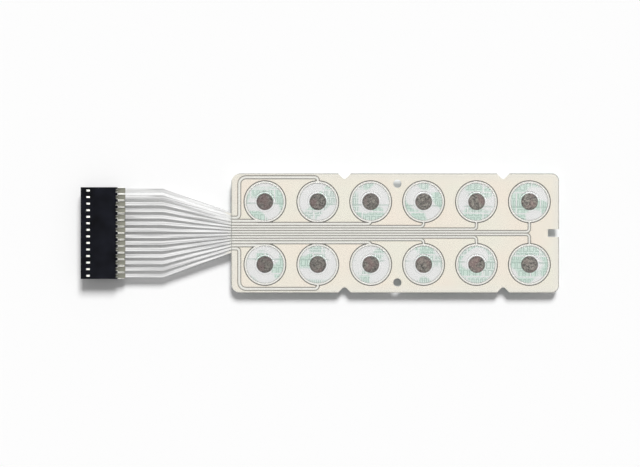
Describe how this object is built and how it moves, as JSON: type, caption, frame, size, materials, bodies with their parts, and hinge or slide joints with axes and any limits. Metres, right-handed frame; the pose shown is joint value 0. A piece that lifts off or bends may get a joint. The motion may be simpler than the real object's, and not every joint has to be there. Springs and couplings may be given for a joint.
{
  "type": "membrane keypad",
  "caption": "Flat membrane keypad panel with rows of round domed keys, printed traces and a tapered clear film tail that ends in an in-line crimp socket connector.",
  "frame": {"origin": "middle of the panel on its rear face", "axes": "+X along the panel away from the tail, +Y across the panel, +Z out of the key side"},
  "size_m": [0.1857, 0.0464, 0.0026],
  "materials": {
    "liner_paper": "coated release paper with a pale green print",
    "rear_adhesive": "grey acrylic adhesive, satin",
    "circuit_film": "clear polyester film",
    "ground_ink": "screen-printed conductor under a cream coat, matt",
    "trace_ink": "screen-printed silver-white conductor, satin",
    "spacer_adhesive": "translucent adhesive spacer",
    "dome_film": "clear formed polyester film, gloss",
    "carbon_pad": "speckled grey-brown carbon, dull",
    "housing_plastic": "black moulded nylon, satin",
    "tinned_terminal": "tin plated, dull bright"
  },
  "bodies": {
    "laminate": {"release_liner": "liner_paper", "rear_adhesive": "rear_adhesive", "circuit_film": "circuit_film", "ground_plane": "ground_ink", "key_trace_1": "trace_ink", "key_trace_2": "trace_ink", "key_trace_3": "trace_ink", "key_trace_4": "trace_ink", "key_trace_5": "trace_ink", "key_trace_6": "trace_ink", "key_trace_7": "trace_ink", "key_trace_8": "trace_ink", "key_trace_9": "trace_ink", "key_trace_10": "trace_ink", "key_trace_11": "trace_ink", "key_trace_12": "trace_ink", "fixed_contacts": "trace_ink", "spacer": "spacer_adhesive", "dome_film": "dome_film", "connector_housing": "housing_plastic", "terminal_1": "tinned_terminal", "terminal_2": "tinned_terminal", "terminal_3": "tinned_terminal", "terminal_4": "tinned_terminal", "terminal_5": "tinned_terminal", "terminal_6": "tinned_terminal", "terminal_7": "tinned_terminal", "terminal_8": "tinned_terminal", "terminal_9": "tinned_terminal", "terminal_10": "tinned_terminal", "terminal_11": "tinned_terminal", "terminal_12": "tinned_terminal", "terminal_13": "tinned_terminal", "terminal_14": "tinned_terminal"},
    "key_1": {"contact_pad_1": "carbon_pad"},
    "key_2": {"contact_pad_2": "carbon_pad"},
    "key_3": {"contact_pad_3": "carbon_pad"},
    "key_4": {"contact_pad_4": "carbon_pad"},
    "key_5": {"contact_pad_5": "carbon_pad"},
    "key_6": {"contact_pad_6": "carbon_pad"},
    "key_7": {"contact_pad_7": "carbon_pad"},
    "key_8": {"contact_pad_8": "carbon_pad"},
    "key_9": {"contact_pad_9": "carbon_pad"},
    "key_10": {"contact_pad_10": "carbon_pad"},
    "key_11": {"contact_pad_11": "carbon_pad"},
    "key_12": {"contact_pad_12": "carbon_pad"}
  },
  "joints": [
    {"name": "key_1_press", "type": "slide", "parent": "laminate", "child": "key_1", "axis": [0, 0, -1], "range_m": [0, 0.00056], "stiffness_N_per_m": 2000, "deforming": ["dome_film"]},
    {"name": "key_2_press", "type": "slide", "parent": "laminate", "child": "key_2", "axis": [0, 0, -1], "range_m": [0, 0.00056], "stiffness_N_per_m": 2000, "deforming": ["dome_film"]},
    {"name": "key_3_press", "type": "slide", "parent": "laminate", "child": "key_3", "axis": [0, 0, -1], "range_m": [0, 0.00056], "stiffness_N_per_m": 2000, "deforming": ["dome_film"]},
    {"name": "key_4_press", "type": "slide", "parent": "laminate", "child": "key_4", "axis": [0, 0, -1], "range_m": [0, 0.00056], "stiffness_N_per_m": 2000, "deforming": ["dome_film"]},
    {"name": "key_5_press", "type": "slide", "parent": "laminate", "child": "key_5", "axis": [0, 0, -1], "range_m": [0, 0.00056], "stiffness_N_per_m": 2000, "deforming": ["dome_film"]},
    {"name": "key_6_press", "type": "slide", "parent": "laminate", "child": "key_6", "axis": [0, 0, -1], "range_m": [0, 0.00056], "stiffness_N_per_m": 2000, "deforming": ["dome_film"]},
    {"name": "key_7_press", "type": "slide", "parent": "laminate", "child": "key_7", "axis": [0, 0, -1], "range_m": [0, 0.00056], "stiffness_N_per_m": 2000, "deforming": ["dome_film"]},
    {"name": "key_8_press", "type": "slide", "parent": "laminate", "child": "key_8", "axis": [0, 0, -1], "range_m": [0, 0.00056], "stiffness_N_per_m": 2000, "deforming": ["dome_film"]},
    {"name": "key_9_press", "type": "slide", "parent": "laminate", "child": "key_9", "axis": [0, 0, -1], "range_m": [0, 0.00056], "stiffness_N_per_m": 2000, "deforming": ["dome_film"]},
    {"name": "key_10_press", "type": "slide", "parent": "laminate", "child": "key_10", "axis": [0, 0, -1], "range_m": [0, 0.00056], "stiffness_N_per_m": 2000, "deforming": ["dome_film"]},
    {"name": "key_11_press", "type": "slide", "parent": "laminate", "child": "key_11", "axis": [0, 0, -1], "range_m": [0, 0.00056], "stiffness_N_per_m": 2000, "deforming": ["dome_film"]},
    {"name": "key_12_press", "type": "slide", "parent": "laminate", "child": "key_12", "axis": [0, 0, -1], "range_m": [0, 0.00056], "stiffness_N_per_m": 2000, "deforming": ["dome_film"]}
  ]
}
